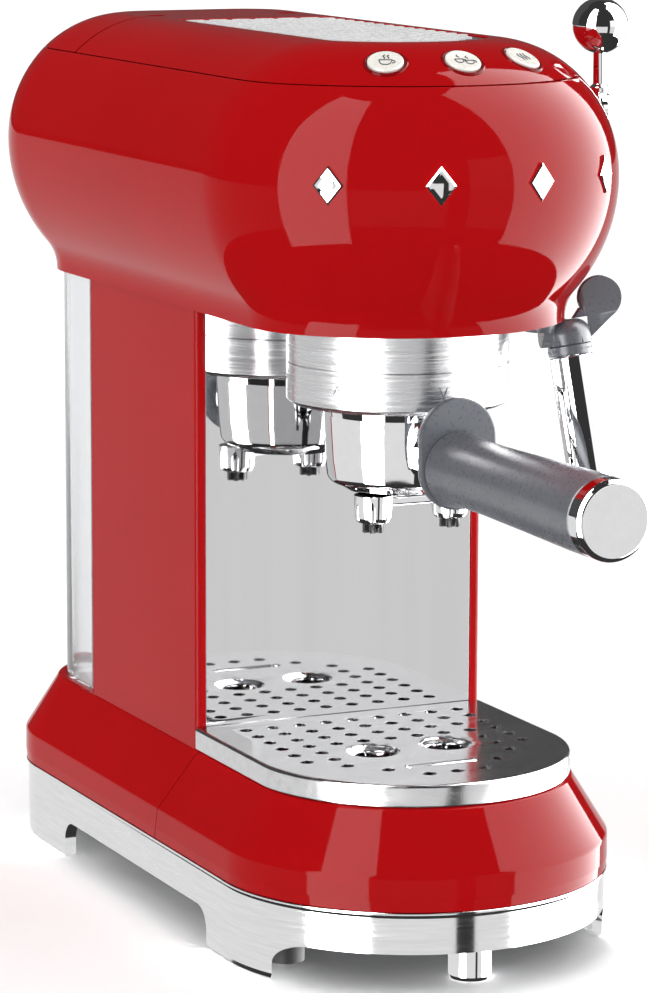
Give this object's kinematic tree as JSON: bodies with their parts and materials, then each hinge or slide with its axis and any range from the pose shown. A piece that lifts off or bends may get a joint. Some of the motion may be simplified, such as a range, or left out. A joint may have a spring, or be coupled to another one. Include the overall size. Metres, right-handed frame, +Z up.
{
  "type": "espresso machine",
  "caption": "Retro pump espresso machine with a bulging head, twist-in portafilter, steam wand and lever, lift-off drip plate, pull-out tray and lift-out water tank.",
  "frame": {"origin": "middle of the whole machine's box, at the floor, with its movable pieces at rest", "axes": "+X to the machine's right as seen from the front, where the wand and lever are; +Y to the back; +Z up"},
  "size_m": [0.1614, 0.3881, 0.3295],
  "materials": {
    "red": "gloss",
    "chrome": "polished",
    "steel": "brushed",
    "mirror": "mirror",
    "slate": "satin",
    "black": "matte",
    "rubber": "matte",
    "warmer": "embossed",
    "cream": "gloss",
    "float_red": "gloss",
    "clear": "clear",
    "boiler_metal": "cast",
    "valve_brass": "machined",
    "pump_grey": "matte",
    "board_green": "satin"
  },
  "bodies": {
    "machine": {"base_ring": "chrome", "foot_pads": "black", "front_leg": "chrome", "base_floor": "black", "base_screws": "steel", "base_frame": "black", "base_housing": "red", "column_shell": "red", "splash_panel": "mirror", "column_back": "black", "head_shell": "red", "top_cover": "red", "cup_rest": "warmer", "head_floor": "black", "front_studs": "chrome", "group_collar": "steel", "bayonet_ring": "chrome", "group_casting": "boiler_metal", "group_gasket": "rubber", "shower_screen": "steel", "screen_screw": "steel", "boiler": "boiler_metal", "steam_valve": "valve_brass", "wand_socket": "slate", "tank_seat": "black", "pump": "pump_grey", "pump_mounts": "rubber", "hoses": "rubber", "control_board": "board_green", "switch_housing": "black", "cord_inlet": "black"},
    "portafilter": {"portafilter_bowl": "chrome", "filter_basket": "steel", "spouts": "chrome", "spout_nozzles": "black", "handle_ferrule": "chrome", "handle_guard": "slate", "handle_grip": "slate", "handle_cap": "chrome"},
    "lever": {"lever_shaft": "steel", "lever_hub": "chrome", "lever_rod": "chrome", "lever_ball": "chrome"},
    "wand": {"wand_elbow": "slate", "wand_tab": "slate", "wand_ring": "slate", "wand_tube": "steel"},
    "sleeve": {"wand_sleeve": "chrome"},
    "button_left": {"button_1": "cream"},
    "button_middle": {"button_2": "cream"},
    "button_right": {"button_3": "cream"},
    "tray": {"tray_front": "red", "tray_bin": "black"},
    "plate": {"drip_plate": "steel"},
    "float": {"float_indicator": "float_red"},
    "tank": {"water_tank": "clear", "lid_pin": "steel", "tank_valve": "black"},
    "lid": {"tank_lid": "red"},
    "rocker": {"power_rocker": "black"}
  },
  "joints": [
    {"name": "portafilter_twist", "type": "hinge", "parent": "machine", "child": "portafilter", "pos_m": [-0.0051, -0.0361, 0.19], "axis": [0, 0, 1], "range_deg": [-57, 0]},
    {"name": "steam_lever", "type": "hinge", "parent": "machine", "child": "lever", "pos_m": [0.0649, -0.0397, 0.291], "axis": [1, 0, 0], "range_deg": [0, 90]},
    {"name": "wand_swivel", "type": "hinge", "parent": "machine", "child": "wand", "pos_m": [0.0409, -0.0551, 0.22], "axis": [0, 0, 1], "range_deg": [-40, 20]},
    {"name": "sleeve_pull", "type": "slide", "parent": "wand", "child": "sleeve", "axis": [0.0958, -0.1729, -0.9803], "range_m": [0, 0.012]},
    {"name": "button_left_press", "type": "slide", "parent": "machine", "child": "button_left", "axis": [0.221, 0.4245, -0.878], "range_m": [0, 0.0015], "stiffness_N_per_m": 400},
    {"name": "button_middle_press", "type": "slide", "parent": "machine", "child": "button_middle", "axis": [0, 0.4786, -0.878], "range_m": [0, 0.0015], "stiffness_N_per_m": 400},
    {"name": "button_right_press", "type": "slide", "parent": "machine", "child": "button_right", "axis": [-0.221, 0.4245, -0.878], "range_m": [0, 0.0015], "stiffness_N_per_m": 400},
    {"name": "tray_slide", "type": "slide", "parent": "machine", "child": "tray", "axis": [0, -1, 0], "range_m": [0, 0.1]},
    {"name": "plate_lift", "type": "slide", "parent": "tray", "child": "plate", "axis": [0, 0, 1], "range_m": [0, 0.03]},
    {"name": "float_rise", "type": "slide", "parent": "tray", "child": "float", "axis": [0, 0, 1], "range_m": [0, 0.005]},
    {"name": "tank_lift", "type": "slide", "parent": "machine", "child": "tank", "axis": [0, 0, 1], "range_m": [0, 0.265]},
    {"name": "lid_hinge", "type": "hinge", "parent": "tank", "child": "lid", "pos_m": [-0.0051, 0.1153, 0.3146], "axis": [1, 0, 0], "range_deg": [0, 100]},
    {"name": "power_rock", "type": "hinge", "parent": "machine", "child": "rocker", "pos_m": [0.0279, 0.1855, 0.0372], "axis": [1, 0, 0], "range_deg": [-6, 6]}
  ]
}
